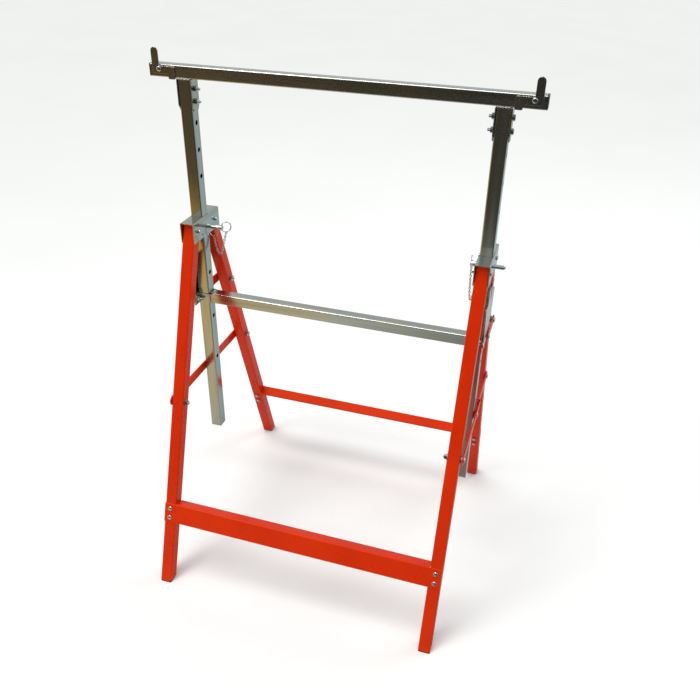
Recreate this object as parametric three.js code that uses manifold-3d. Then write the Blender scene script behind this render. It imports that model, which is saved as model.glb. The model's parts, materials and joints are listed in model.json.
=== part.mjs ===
// Folding sawhorse with a height-adjustable beam, two hinged leg frames and folding braces.
// Millimetres. X runs along the beam, Y points to the rear, Z is up. The floor is z = 0, and
// the origin is the centre of the footprint. The frames stand open and the beam is 1 m high.

import * as THREE from 'three';
import { mergeVertices } from 'three/addons/utils/BufferGeometryUtils.js';
import Module from 'manifold-3d';

const wasm = await Module();
wasm.setup();

// ---------------------------------------------------------------- driving dimensions

const FRAME_X = 281.5; // centre of each post and of each pair of legs, from the middle
const SPLAY = THREE.MathUtils.degToRad(19.1); // lean of every leg
const GAP = 0.3; // clearance between neighbouring pieces

const TUBE = { side: 24, wall: 1.5, corner: 2.5 }; // legs and posts
const HALF = TUBE.side / 2;
const BAR = { side: 22, wall: 1.5, corner: 2 }; // beam and middle bar

const BEAM = { length: 696, top: 1000, cap: 2.5, stub: 10 };
const PIVOT = { y: 35.7, z: 702, legAbove: 14 }; // leg pivots in the head brackets
const BRACKET = { halfDepth: 53.5, bottom: 682, top: 721.6, sheet: 1.6, inside: 12.35 };
const POST = { bottom: 217, plug: 3, stub: 14, top: 975.4, holePitch: 50, firstHole: 900 };
const POST_HOLES = [0, 1, 2, 4, 6, 8, 10]; // pitches below the first hole
const PIN_Z = 700;
const SADDLE = { bottom: 922, top: 977.7, sheet: 2, inside: 12.35, halfDepth: 13, boltZ: [960, 938] };
const MIDBAR = { z: 545.6, wallEnd: 268, joggle: 262, earInner: 12.4, flangeY: 26.5, sheet: 1.5 };
const EAR_BOLT = { front: -19.5, rear: 21 }; // y of the two bolts of each guide plate
const GUIDE = { near: 12.3, far: 13.9, halfWidth: 28, bottom: 532, top: 559 };
const CHEEK = { // upper part of each guide plate
  near: 14.3,
  far: 15.9,
  front: 50,
  rear: 54,
  rearBend: { y: 50, z: 596 },
  shoulder: 636.5,
  prong: 29,
  slot: 5.5,
  top: 664,
};
const UPPER_LINK = { legDistance: 165.5, near: 16.3, far: 18.8, radius: 10 };
const BRACE = {
  legDistance: 346.05,
  reach: 148.93, // bolt to knee
  tail: 36, // front link past the knee
  radius: 9,
  bulb: 10.5,
  rear: { near: 12.4, far: 14.9 },
  front: { near: 15.3, far: 17.8 },
};
const RAIL = { fold: 565.3, bottom: 606.7, near: 12.3, sheet: 1.2, flange: 25.9, bolts: [577, 597] };
const RAIL_FLANGE_HALF = 269;
const FOOT = { plug: 2, stub: 14 };
const STUB_CORNER = 2; // of the plug bodies inside the tubes
const PIN = { tip: 316.5, shoulder: 267.25, end: 253.5, ringHole: 256.5, radius: 4, head: 5 };
const PIN_DRAWN = { left: 20, right: 0 }; // how far each pin is drawn back towards the middle
const PULL_RING = { radius: 10, wire: 1 };
const PULL_RING_TURN = { left: 45, right: 80 }; // degrees from the pin's axis, seen from above
const SPLIT_RING = { x: 263.5, y: 18.3, z: 681, radius: 9.36, wire: 1.1, holeZ: 689 };
const CHAIN_RADIUS = 1.6;
const STOP = { rivetX: 327.5, rivetZ: 992, face: -11.3, sheet: 2 };

const CLEAR = { m6: 3.3, m5: 2.6, pin: 4.5, small: 2.25, rivet: 2.3 }; // hole radii
const SHANK = { m6: 2.9, m5: 2.3, rivet: 2 };

const ROUND = 8; // sides of bolts and their holes
const RING_SIDES = { wire: 6, around: 20 };
const CORNER_STEPS = 2;

// ---------------------------------------------------------------- materials

function finish(color, roughness, metalness) {
  return { color, roughness, metalness };
}

const FINISH = {
  orangePaint: finish(0xd02c06, 0.38, 0.0),
  zinc: finish(0xa7a99f, 0.34, 0.95),
  brightZinc: finish(0xc2c6c4, 0.24, 1.0),
  blackPlastic: finish(0x17181a, 0.5, 0.0),
  greyPlastic: finish(0x8d9086, 0.5, 0.0),
  plumRubber: finish(0x2a1414, 0.7, 0.0),
};

// ---------------------------------------------------------------- solids and booleans

function solid(geometry) {
  const bare = new THREE.BufferGeometry();
  bare.setAttribute('position', geometry.getAttribute('position'));
  bare.setIndex(geometry.getIndex());
  const merged = mergeVertices(bare, 1e-4);
  const corners = merged.getIndex().array;
  const kept = [];
  for (let i = 0; i < corners.length; i += 3) {
    const [a, b, c] = corners.slice(i, i + 3);
    if (a !== b && b !== c && c !== a) kept.push(a, b, c);
  }
  const vertProperties = new Float32Array(merged.getAttribute('position').array);
  return new wasm.Manifold(new wasm.Mesh({ numProp: 3, vertProperties, triVerts: new Uint32Array(kept) }));
}

function join(...bodies) {
  return bodies.reduce((whole, body) => whole.add(body));
}

function cut(body, ...tools) {
  return tools.reduce((rest, tool) => rest.subtract(tool), body);
}

function geometryOf(body) {
  const { vertProperties, triVerts } = body.getMesh();
  const geometry = new THREE.BufferGeometry();
  geometry.setAttribute('position', new THREE.BufferAttribute(vertProperties, 3));
  geometry.setIndex(new THREE.BufferAttribute(triVerts, 1));
  geometry.computeVertexNormals();
  return geometry;
}

// ---------------------------------------------------------------- outlines, as 2-D shapes

function arc(a, b, radius, from, to, steps) {
  const points = [];
  for (let i = 0; i <= steps; i += 1) {
    const turn = THREE.MathUtils.degToRad(from + ((to - from) * i) / steps);
    points.push(new THREE.Vector2(a + radius * Math.cos(turn), b + radius * Math.sin(turn)));
  }
  return points;
}

function polygon(...pairs) {
  return pairs.map(([a, b]) => new THREE.Vector2(a, b));
}

function shape(...parts) {
  return new THREE.Shape(parts.flat());
}

function disc(a, b, radius, sides = ROUND) {
  return shape(arc(a, b, radius, 0, 360 - 360 / sides, sides - 1));
}

function roundedBox(a0, a1, b0, b1, corner, steps = CORNER_STEPS) {
  return shape(
    arc(a1 - corner, b1 - corner, corner, 0, 90, steps),
    arc(a0 + corner, b1 - corner, corner, 90, 180, steps),
    arc(a0 + corner, b0 + corner, corner, 180, 270, steps),
    arc(a1 - corner, b0 + corner, corner, 270, 360, steps),
  );
}

function squareTube(a, b, tube) {
  const outer = tube.side / 2;
  const inner = outer - tube.wall;
  const outline = roundedBox(a - outer, a + outer, b - outer, b + outer, tube.corner);
  outline.holes.push(roundedBox(a - inner, a + inner, b - inner, b + inner, tube.corner - tube.wall, 1));
  return outline;
}

// Flat link between two round ends on one line; the second end lies towards +a or -a.
function linkOutline(reach, radius, endRadius) {
  const facing = Math.sign(reach);
  const near = facing > 0 ? [90, 270] : [270, 450];
  const far = facing > 0 ? [270, 450] : [90, 270];
  return shape(arc(0, 0, radius, ...near, 8), arc(reach, 0, endRadius, ...far, 8));
}

// Channel open at the bottom: inner half-width, sheet thickness, bottom and top.
function channelOutline(centre, inside, sheet, bottom, top) {
  const outside = inside + sheet;
  const bend = sheet + 0.6;
  return shape(
    polygon([centre + outside, bottom]),
    arc(centre + outside - bend, top - bend, bend, 0, 90, 3),
    arc(centre - outside + bend, top - bend, bend, 90, 180, 3),
    polygon(
      [centre - outside, bottom],
      [centre - inside, bottom],
      [centre - inside, top - sheet],
      [centre + inside, top - sheet],
      [centre + inside, bottom],
    ),
  );
}

// ---------------------------------------------------------------- swept and turned solids

// An outline is drawn in (y, z) for axis x, in (x, z) for axis y and in (x, y) for axis z.
const DRAWN_ON = {
  x: { across: [0, 1, 0], up: [0, 0, 1], along: [1, 0, 0] },
  y: { across: [1, 0, 0], up: [0, 0, 1], along: [0, -1, 0] },
  z: { across: [1, 0, 0], up: [0, 1, 0], along: [0, 0, 1] },
};

function prism(axis, outline, low, high) {
  const options = { depth: high - low, bevelEnabled: false, curveSegments: 1 };
  const { across, up, along } = DRAWN_ON[axis];
  const [u, v, w] = [across, up, along].map((direction) => new THREE.Vector3(...direction));
  const start = w.clone().multiplyScalar(axis === 'y' ? -high : low);
  const frame = new THREE.Matrix4().makeBasis(u, v, w).setPosition(start);
  return solid(new THREE.ExtrudeGeometry(outline, options).applyMatrix4(frame));
}

function rod(axis, a, b, radius, low, high, sides = ROUND) {
  return prism(axis, disc(a, b, radius, sides), low, high);
}

function block(x0, x1, y0, y1, z0, z1) {
  const geometry = new THREE.BoxGeometry(Math.abs(x1 - x0), Math.abs(y1 - y0), Math.abs(z1 - z0));
  return solid(geometry.translate((x0 + x1) / 2, (y0 + y1) / 2, (z0 + z1) / 2));
}

// Profile points are [radius, distance along the direction], from the axis back to the axis.
function turned(profile, direction, x, y, z) {
  const geometry = new THREE.LatheGeometry(polygon(...profile), ROUND);
  const turn = new THREE.Quaternion();
  turn.setFromUnitVectors(new THREE.Vector3(0, 1, 0), new THREE.Vector3(...direction));
  return solid(geometry.applyQuaternion(turn).translate(x, y, z));
}

function domeProfile(radius, height) {
  return [
    [0, 0],
    [radius, 0],
    [radius, height * 0.25],
    [radius * 0.82, height * 0.72],
    [radius * 0.45, height * 0.95],
    [0, height],
  ];
}

// ---------------------------------------------------------------- pieces across a frame (along X)

// side is -1 for the left frame and 1 for the right. An offset is measured from the post's
// centre and grows towards the outside of the sawhorse.
function atOffset(side, offset) {
  return side * (FRAME_X + offset);
}

function slab(side, outline, near, far) {
  const ends = [atOffset(side, near), atOffset(side, far)].sort((a, b) => a - b);
  return prism('x', outline, ...ends);
}

function rodAcross(side, y, z, radius, near, far) {
  return slab(side, disc(y, z, radius), near, far);
}

function hexAcross(side, y, z, radius, near, far) {
  return slab(side, disc(y, z, radius, 6), near, far);
}

function domeAcross(side, y, z, radius, height, seat) {
  return turned(domeProfile(radius, height), [side, 0, 0], atOffset(side, seat), y, z);
}

function boxAcross(side, near, far, y0, y1, z0, z1) {
  return block(atOffset(side, near), atOffset(side, far), y0, y1, z0, z1);
}

// ---------------------------------------------------------------- beam, stops and saddles

function beamTube() {
  const half = BEAM.length / 2 - BEAM.cap - GAP;
  const tube = prism('x', squareTube(0, BEAM.top - BAR.side / 2, BAR), -half, half);
  const rivetHoles = [-1, 1].map((side) =>
    rod('y', side * STOP.rivetX, STOP.rivetZ, CLEAR.rivet, -BAR.side / 2 - 1, -BAR.side / 2 + 3));
  return cut(tube, ...rivetHoles);
}

function beamCap(side) {
  const end = BEAM.length / 2;
  const inner = BAR.side / 2 - BAR.wall - GAP;
  const middle = BEAM.top - BAR.side / 2;
  const half = BAR.side / 2;
  const flangeEnds = [side * (end - BEAM.cap), side * end].sort((a, b) => a - b);
  const flange = prism('x', roundedBox(-half, half, middle - half, middle + half, BAR.corner), ...flangeEnds);
  const stubEnds = [side * (end - BEAM.cap - BEAM.stub), side * (end - 1)].sort((a, b) => a - b);
  const stubOutline = roundedBox(-inner, inner, middle - inner, middle + inner, STUB_CORNER);
  const stub = prism('x', stubOutline, ...stubEnds);
  return join(flange, stub);
}

function beamStop(side) {
  const finger = { inner: 327, outer: 340.5, top: 1028 };
  const arm = { inner: 297, lobe: 310, top: 997, bottom: 984.3, tab: 975.5, tabSheet: 2, tabDepth: 10 };
  const radius = (finger.outer - finger.inner) / 2;
  const corner = 5;
  const outline = shape(
    polygon([arm.inner, arm.tab], [arm.lobe, arm.tab], [arm.lobe, arm.bottom]),
    arc(finger.outer - corner, arm.bottom + corner, corner, 270, 360, 3),
    arc(finger.outer - radius, finger.top - radius, radius, 0, 180, 8),
    arc(finger.inner - 3, arm.top + 3, 3, 360, 270, 2),
    arc(arm.inner + 3, arm.top - 3, 3, 90, 180, 2),
  );
  const sided = new THREE.Shape(outline.getPoints().map((p) => new THREE.Vector2(side * p.x, p.y)));
  const plate = prism('y', sided, STOP.face - STOP.sheet, STOP.face);
  const tab = block(side * arm.inner, side * arm.lobe, STOP.face - STOP.sheet, STOP.face + arm.tabDepth,
    arm.tab, arm.tab + arm.tabSheet);
  const hole = rod('y', side * STOP.rivetX, STOP.rivetZ, CLEAR.rivet, STOP.face - 3, STOP.face + 1);
  return cut(join(plate, tab), hole);
}

function stopRivet(side) {
  const seat = STOP.face - STOP.sheet - GAP;
  const inside = -BAR.side / 2 + BAR.wall + GAP;
  const x = side * STOP.rivetX;
  const head = turned(domeProfile(4.6, 1.7), [0, -1, 0], x, seat, STOP.rivetZ);
  const shank = rod('y', x, STOP.rivetZ, SHANK.rivet, seat - 0.5, inside + 1);
  const tail = rod('y', x, STOP.rivetZ, 3.2, inside, inside + 1.2);
  return join(head, shank, tail);
}

function beamSaddle(side) {
  const outline = channelOutline(side * FRAME_X, SADDLE.inside, SADDLE.sheet, SADDLE.bottom, SADDLE.top);
  const channel = prism('y', outline, -SADDLE.halfDepth, SADDLE.halfDepth);
  const slant = { deep: 6, high: 12 };
  const corners = [-1, 1].map((out) => slab(side, shape(polygon(
    [out * (SADDLE.halfDepth - slant.deep), SADDLE.bottom - 1],
    [out * (SADDLE.halfDepth + 1), SADDLE.bottom - 1],
    [out * (SADDLE.halfDepth + 1), SADDLE.bottom + slant.high],
  )), -20, 20));
  const holes = SADDLE.boltZ.map((z) => rodAcross(side, 0, z, CLEAR.m6, -20, 20));
  return cut(channel, ...corners, ...holes);
}

function saddleBolt(side, z) {
  const seat = SADDLE.inside + SADDLE.sheet + GAP;
  const head = hexAcross(side, 0, z, 5.4, seat, seat + 4);
  const shank = rodAcross(side, 0, z, SHANK.m6, -25, seat + 1);
  const nut = hexAcross(side, 0, z, 5.4, -seat - 4.8, -seat);
  return join(head, shank, nut);
}

// ---------------------------------------------------------------- posts and head brackets

function post(side) {
  const tube = prism('z', squareTube(side * FRAME_X, 0, TUBE), POST.bottom + POST.plug + GAP, POST.top);
  const pinHoles = POST_HOLES.map((n) =>
    rodAcross(side, 0, POST.firstHole - n * POST.holePitch, CLEAR.pin, -15, 15));
  const boltHoles = SADDLE.boltZ.map((z) => rodAcross(side, 0, z, CLEAR.m6, -15, 15));
  return cut(tube, ...pinHoles, ...boltHoles);
}

function postPlug(side) {
  const inner = HALF - TUBE.wall - GAP;
  const x = side * FRAME_X;
  const cap = prism('z', roundedBox(x - HALF, x + HALF, -HALF, HALF, TUBE.corner),
    POST.bottom, POST.bottom + POST.plug);
  const stub = prism('z', roundedBox(x - inner, x + inner, -inner, inner, STUB_CORNER),
    POST.bottom + 1, POST.bottom + POST.plug + POST.stub);
  return join(cap, stub);
}

function headBracket(side) {
  const outline = channelOutline(side * FRAME_X, BRACKET.inside, BRACKET.sheet, BRACKET.bottom, BRACKET.top);
  const channel = prism('y', outline, -BRACKET.halfDepth, BRACKET.halfDepth);
  const postY = HALF + 0.5;
  const postHole = boxAcross(side, -BRACKET.inside, BRACKET.inside, -postY, postY,
    BRACKET.top - 3, BRACKET.top + 1);
  const pivotHoles = [-1, 1].map((out) => rodAcross(side, out * PIVOT.y, PIVOT.z, CLEAR.m6, -20, 20));
  const pinHole = rodAcross(side, 0, PIN_Z, CLEAR.pin, -20, 20);
  const smallHoles = [-1, 1].map((out) =>
    rodAcross(side, out * SPLIT_RING.y, SPLIT_RING.holeZ, CLEAR.small, -20, 20));
  return cut(channel, postHole, pinHole, ...pivotHoles, ...smallHoles);
}

function pivotBolt(side, out) {
  const seat = BRACKET.inside + BRACKET.sheet + GAP;
  const y = out * PIVOT.y;
  const head = domeAcross(side, y, PIVOT.z, 5.4, 2.8, seat);
  const shank = rodAcross(side, y, PIVOT.z, SHANK.m6, -seat - 2, seat + 0.5);
  const end = rodAcross(side, y, PIVOT.z, 3.8, -seat - 5.2, -seat);
  return join(head, shank, end);
}

// ---------------------------------------------------------------- leg frames
// Modelled about the pivot with the leg hanging straight down; out is -1 front, 1 rear.

const FOOT_RUN = PIVOT.z / Math.cos(SPLAY); // pivot to floor along the leg

// Everything lower than a floor-parallel plane at the given height, in the leg's own frame.
function belowHeight(side, out, height) {
  const big = 120;
  const geometry = new THREE.BoxGeometry(big, big, big).translate(0, 0, -big / 2);
  geometry.rotateX(-out * SPLAY);
  const run = (PIVOT.z - height) / Math.cos(SPLAY);
  return solid(geometry.translate(side * FRAME_X, 0, -run));
}

function leg(side, out) {
  const tube = prism('z', squareTube(side * FRAME_X, 0, TUBE), -FOOT_RUN - TUBE.side, PIVOT.legAbove);
  const acrossAt = [0, BRACE.legDistance];
  if (out > 0) acrossAt.push(UPPER_LINK.legDistance);
  const acrossHoles = acrossAt.map((run) => rodAcross(side, 0, -run, CLEAR.m6, -15, 15));
  const railHoles = RAIL.bolts.map((run) => rod('y', side * FRAME_X, -run, CLEAR.m5, -15, 15));
  return cut(tube, belowHeight(side, out, FOOT.plug + GAP), ...acrossHoles, ...railHoles);
}

function footPlug(side, out) {
  const inner = HALF - TUBE.wall - GAP;
  const x = side * FRAME_X;
  const top = -FOOT_RUN + FOOT.stub;
  const padOutline = roundedBox(x - HALF, x + HALF, -HALF, HALF, TUBE.corner);
  const pad = prism('z', padOutline, -FOOT_RUN - TUBE.side, top);
  const sole = pad.intersect(belowHeight(side, out, FOOT.plug));
  const stubOutline = roundedBox(x - inner, x + inner, -inner, inner, STUB_CORNER);
  const stub = prism('z', stubOutline, -FOOT_RUN - TUBE.side, top);
  return cut(join(sole, stub), belowHeight(side, out, 0));
}

function rail(out) {
  const face = RAIL.near + RAIL.sheet;
  const webX = FRAME_X + HALF;
  const web = block(-webX, webX, out * RAIL.near, out * face, -RAIL.bottom, -RAIL.fold);
  const flange = block(-RAIL_FLANGE_HALF, RAIL_FLANGE_HALF, out * (face - RAIL.flange), out * face,
    -RAIL.fold - RAIL.sheet, -RAIL.fold);
  const bolts = [-1, 1].flatMap((side) => RAIL.bolts.map((run) => railBolt(side, out, -run)));
  return join(web, flange, ...bolts);
}

function railBolt(side, out, z) {
  const x = side * FRAME_X;
  const face = RAIL.near + RAIL.sheet;
  const inside = -HALF - GAP;
  const ends = (from, to) => [out * from, out * to].sort((a, b) => a - b);
  const head = turned(domeProfile(4.6, 2.4), [0, out, 0], x, out * (face - 0.2), z);
  const shank = rod('y', x, z, SHANK.m5, ...ends(inside - 5.5, face));
  const nut = prism('y', disc(x, z, 4.6, 6), ...ends(inside - 4, inside));
  return join(head, shank, nut);
}

// Bolt through a leg with its nut on the inner side; a collar fills the room under a link.
function legBolt(side, run, seat, collarFar) {
  const inside = -HALF - GAP;
  const pieces = [
    domeAcross(side, 0, -run, 5.6, 2.9, seat),
    rodAcross(side, 0, -run, SHANK.m6, inside - 8, seat + 0.5),
    rodAcross(side, 0, -run, 7, inside - 1.2, inside),
    hexAcross(side, 0, -run, 5.4, inside - 5.8, inside - 1),
  ];
  if (collarFar) pieces.push(rodAcross(side, 0, -run, 7, HALF + GAP, collarFar));
  return join(...pieces);
}

// ---------------------------------------------------------------- middle bar and its guides

function middleBar() {
  const tube = prism('x', squareTube(0, MIDBAR.z, BAR), -MIDBAR.wallEnd, MIDBAR.wallEnd);
  const half = BAR.side / 2;
  const inner = half - MIDBAR.sheet - GAP;
  const ends = [-1, 1].flatMap((side) => [-1, 1].map((out) => ({ side, out })));
  const sideWalls = ends.map(({ side, out }) =>
    block(side * MIDBAR.joggle, side * (MIDBAR.wallEnd + 5), out * inner, out * (half + 1),
      MIDBAR.z - half - 1, MIDBAR.z + half + 1));
  return join(cut(tube, ...sideWalls), ...ends.map(({ side, out }) => guideEar(side, out)));
}

// Front or rear wall of the bar: it steps outwards, passes the post and turns out to a flange.
function guideEar(side, out) {
  const inner = BAR.side / 2 - MIDBAR.sheet;
  const near = MIDBAR.earInner;
  const far = near + MIDBAR.sheet;
  const tip = FRAME_X + HALF;
  const weld = 0.2; // the root is this much thinner than the bar's wall, which it is one with
  const path = [
    [MIDBAR.joggle - 1, inner + weld], [MIDBAR.joggle, inner], [MIDBAR.wallEnd, near],
    [tip, near], [tip, MIDBAR.flangeY], [tip - MIDBAR.sheet, MIDBAR.flangeY],
    [tip - MIDBAR.sheet, far], [MIDBAR.wallEnd - 1, far],
    [MIDBAR.joggle, BAR.side / 2], [MIDBAR.joggle - 1, BAR.side / 2 - weld],
  ];
  const half = BAR.side / 2 - BAR.corner / 2;
  const outline = shape(polygon(...path.map(([x, y]) => [side * x, out * y])));
  const ear = prism('z', outline, MIDBAR.z - half, MIDBAR.z + half);
  const y = out > 0 ? EAR_BOLT.rear : EAR_BOLT.front;
  return cut(ear, rodAcross(side, y, MIDBAR.z, CLEAR.m6, 0, 20));
}

// The plate over the post carries a wider cheek that reaches up towards the head bracket. The
// cheek stands further out than the bracket and is forked to clear the locking pin, because
// the bar rises when the sawhorse folds.
function guidePlate(side) {
  const outline = roundedBox(-GUIDE.halfWidth, GUIDE.halfWidth, GUIDE.bottom, GUIDE.top - 1, 1.5);
  const plate = slab(side, outline, GUIDE.near, GUIDE.far);
  const sheet = CHEEK.far - CHEEK.near;
  const foot = GUIDE.top - sheet;
  const step = boxAcross(side, GUIDE.near, CHEEK.far, -GUIDE.halfWidth, GUIDE.halfWidth, foot, GUIDE.top);
  const cheek = slab(side, cheekOutline(foot), CHEEK.near, CHEEK.far);
  const holes = Object.values(EAR_BOLT).map((y) => rodAcross(side, y, MIDBAR.z, CLEAR.m6, 10, 16));
  return cut(join(plate, step, cheek), ...holes);
}

function cheekOutline(foot) {
  const corner = 4;
  return shape(
    polygon([-GUIDE.halfWidth, foot], [GUIDE.halfWidth, foot]),
    polygon([CHEEK.rearBend.y, CHEEK.rearBend.z]),
    arc(CHEEK.rear - corner, CHEEK.shoulder - corner, corner, 0, 90, 2),
    polygon([CHEEK.prong, CHEEK.shoulder]),
    arc(CHEEK.prong - corner, CHEEK.top - corner, corner, 0, 90, 2),
    polygon([CHEEK.slot, CHEEK.top], [CHEEK.slot, CHEEK.shoulder], [-CHEEK.slot, CHEEK.shoulder]),
    polygon([-CHEEK.slot, CHEEK.top]),
    arc(corner - CHEEK.prong, CHEEK.top - corner, corner, 90, 180, 2),
    polygon([-CHEEK.prong, CHEEK.shoulder]),
    arc(corner - CHEEK.front, CHEEK.shoulder - corner, corner, 90, 180, 2),
  );
}

function guideBoltFront(side) {
  const seat = GUIDE.far + GAP;
  const head = domeAcross(side, EAR_BOLT.front, MIDBAR.z, 5.4, 2.8, seat);
  return join(head, guideBoltBody(side, EAR_BOLT.front, seat + 0.5));
}

// The rear bolt's head is on the upper link, which turns on it.
function guideBoltRear(side) {
  return guideBoltBody(side, EAR_BOLT.rear, UPPER_LINK.near - GAP);
}

function guideBoltBody(side, y, outerEnd) {
  const flangeInner = HALF - MIDBAR.sheet - GAP;
  const shank = rodAcross(side, y, MIDBAR.z, SHANK.m6, -1.5, outerEnd);
  const nut = hexAcross(side, y, MIDBAR.z, 5.2, flangeInner - 4.7, flangeInner);
  return join(shank, nut);
}

// ---------------------------------------------------------------- folding links
// Each link is modelled about its own pivot on the leg and lies level when the frames are open.

function upperLink(side) {
  const reach = EAR_BOLT.rear - (PIVOT.y + UPPER_LINK.legDistance * Math.sin(SPLAY));
  const outline = linkOutline(reach, UPPER_LINK.radius, UPPER_LINK.radius);
  const bar = slab(side, outline, UPPER_LINK.near, UPPER_LINK.far);
  const hole = rodAcross(side, 0, 0, CLEAR.m6, 10, 20);
  const rivet = domeAcross(side, reach, 0, 5.4, 3, UPPER_LINK.far - 0.2);
  return join(cut(bar, hole), rivet);
}

function braceRear(side) {
  const outline = linkOutline(-BRACE.reach, BRACE.bulb, BRACE.radius);
  const bar = slab(side, outline, BRACE.rear.near, BRACE.rear.far);
  return cut(bar, rodAcross(side, 0, 0, CLEAR.m6, 10, 20));
}

// The front link runs past the knee, and its lug stops the knee from passing the level line.
function braceFront(side) {
  const { near, far } = BRACE.front;
  const bar = slab(side, linkOutline(BRACE.reach + BRACE.tail, BRACE.bulb, BRACE.radius), near, far);
  const lug = { from: BRACE.reach + 24, to: BRACE.reach + 38, sheet: 2 };
  const lugBottom = BRACE.bulb + GAP;
  const upright = boxAcross(side, near, far, lug.from, lug.to, 2, lugBottom + lug.sheet);
  const tab = boxAcross(side, BRACE.rear.near, far, lug.from, lug.to, lugBottom, lugBottom + lug.sheet);
  const rivet = domeAcross(side, BRACE.reach, 0, 6, 2.8, far - 0.2);
  return join(cut(bar, rodAcross(side, 0, 0, CLEAR.m6, 10, 20)), upright, tab, rivet);
}

// ---------------------------------------------------------------- locking pins, rings, chains

function lockingPin(side, drawn) {
  const length = PIN.tip - PIN.end;
  const shoulder = PIN.shoulder - PIN.end;
  const profile = [
    [0, 0], [PIN.head - 1, 0], [PIN.head, 1], [PIN.head, shoulder],
    [PIN.radius, shoulder], [PIN.radius, length - 3], [PIN.radius - 1.6, length], [0, length],
  ];
  const body = turned(profile, [side, 0, 0], side * (PIN.end - drawn), 0, PIN_Z);
  const sag = 0.7; // the ring bends away from the straight hole by this much
  const towards = ringDirection(side);
  const x = side * (PIN.ringHole - drawn) + towards.x * sag;
  return cut(body, rod('z', x, towards.y * sag, 2.2, PIN_Z - 6, PIN_Z + 6));
}

// Level direction from the pin's cross hole to the middle of the pull ring.
function ringDirection(side) {
  const turn = THREE.MathUtils.degToRad(side < 0 ? PULL_RING_TURN.left : PULL_RING_TURN.right);
  return new THREE.Vector3(-side * Math.cos(turn), Math.sin(turn), 0);
}

function ringCentre(side, drawn) {
  const hole = new THREE.Vector3(side * (PIN.ringHole - drawn), 0, PIN_Z);
  return hole.addScaledVector(ringDirection(side), PULL_RING.radius);
}

function ringGeometry({ radius, wire }) {
  return new THREE.TorusGeometry(radius, wire, RING_SIDES.wire, RING_SIDES.around);
}

function pullRing(side, drawn) {
  const ring = ringGeometry(PULL_RING);
  const direction = ringDirection(side);
  ring.rotateX(Math.PI / 2).rotateZ(Math.atan2(direction.y, direction.x));
  return solid(ring.translate(...ringCentre(side, drawn).toArray()));
}

function splitRing(side) {
  const ring = ringGeometry(SPLIT_RING);
  return solid(ring.rotateX(Math.PI / 2).translate(side * SPLIT_RING.x, SPLIT_RING.y, SPLIT_RING.z));
}

// Route of each chain from the split ring down and up to the pull ring: [distance from the
// middle along X, y, z].
const CHAIN_SAG = {
  left: [[261, 17.3, 657], [256.5, 15.5, 643.5], [251, 13.5, 638], [245, 11.5, 642], [238.5, 9.3, 663]],
  right: [[263.3, 17.8, 647], [261.8, 16.5, 627], [259.3, 14.4, 620], [257, 12.3, 627], [255.8, 10.8, 650]],
};

function chain(side, drawn, sag) {
  const from = [SPLIT_RING.x, SPLIT_RING.y, SPLIT_RING.z - SPLIT_RING.radius - SPLIT_RING.wire - GAP];
  const ring = ringCentre(side, drawn);
  const to = [side * ring.x, ring.y, ring.z - PULL_RING.radius - PULL_RING.wire - GAP];
  const points = [from, ...sag, to].map(([x, y, z]) => new THREE.Vector3(side * x, y, z));
  const extrudePath = new THREE.CatmullRomCurve3(points);
  return solid(new THREE.ExtrudeGeometry(disc(0, 0, CHAIN_RADIUS, 8), { steps: 18, extrudePath }));
}

// ---------------------------------------------------------------- assembly

const sawhorse = new THREE.Group();

function place(parent, name, look, body, y = 0, z = 0) {
  const mesh = new THREE.Mesh(geometryOf(body), new THREE.MeshStandardMaterial(FINISH[look]));
  mesh.name = name;
  mesh.position.set(0, y, z);
  parent.add(mesh);
}

const SIDES = [{ side: -1, label: 'left' }, { side: 1, label: 'right' }];
const FRAMES = [{ out: -1, label: 'front' }, { out: 1, label: 'rear' }];

place(sawhorse, 'beam_tube', 'zinc', beamTube());
place(sawhorse, 'middle_bar', 'zinc', middleBar());

for (const { side, label } of SIDES) {
  place(sawhorse, `beam_cap_${label}`, 'blackPlastic', beamCap(side));
  place(sawhorse, `beam_stop_${label}`, 'zinc', beamStop(side));
  place(sawhorse, `beam_stop_rivet_${label}`, 'brightZinc', stopRivet(side));
  place(sawhorse, `beam_saddle_${label}`, 'zinc', beamSaddle(side));
  SADDLE.boltZ.forEach((z, i) => {
    place(sawhorse, `saddle_bolt_${['upper', 'lower'][i]}_${label}`, 'brightZinc', saddleBolt(side, z));
  });
  place(sawhorse, `post_${label}`, 'zinc', post(side));
  place(sawhorse, `post_plug_${label}`, 'greyPlastic', postPlug(side));
  place(sawhorse, `head_bracket_${label}`, 'zinc', headBracket(side));
  place(sawhorse, `guide_plate_${label}`, 'zinc', guidePlate(side));
  place(sawhorse, `guide_bolt_front_${label}`, 'brightZinc', guideBoltFront(side));
  place(sawhorse, `guide_bolt_rear_${label}`, 'brightZinc', guideBoltRear(side));
  place(sawhorse, `locking_pin_${label}`, 'brightZinc', lockingPin(side, PIN_DRAWN[label]));
  place(sawhorse, `pull_ring_${label}`, 'brightZinc', pullRing(side, PIN_DRAWN[label]));
  place(sawhorse, `split_ring_${label}`, 'brightZinc', splitRing(side));
  place(sawhorse, `pin_chain_${label}`, 'brightZinc', chain(side, PIN_DRAWN[label], CHAIN_SAG[label]));
}

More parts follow.
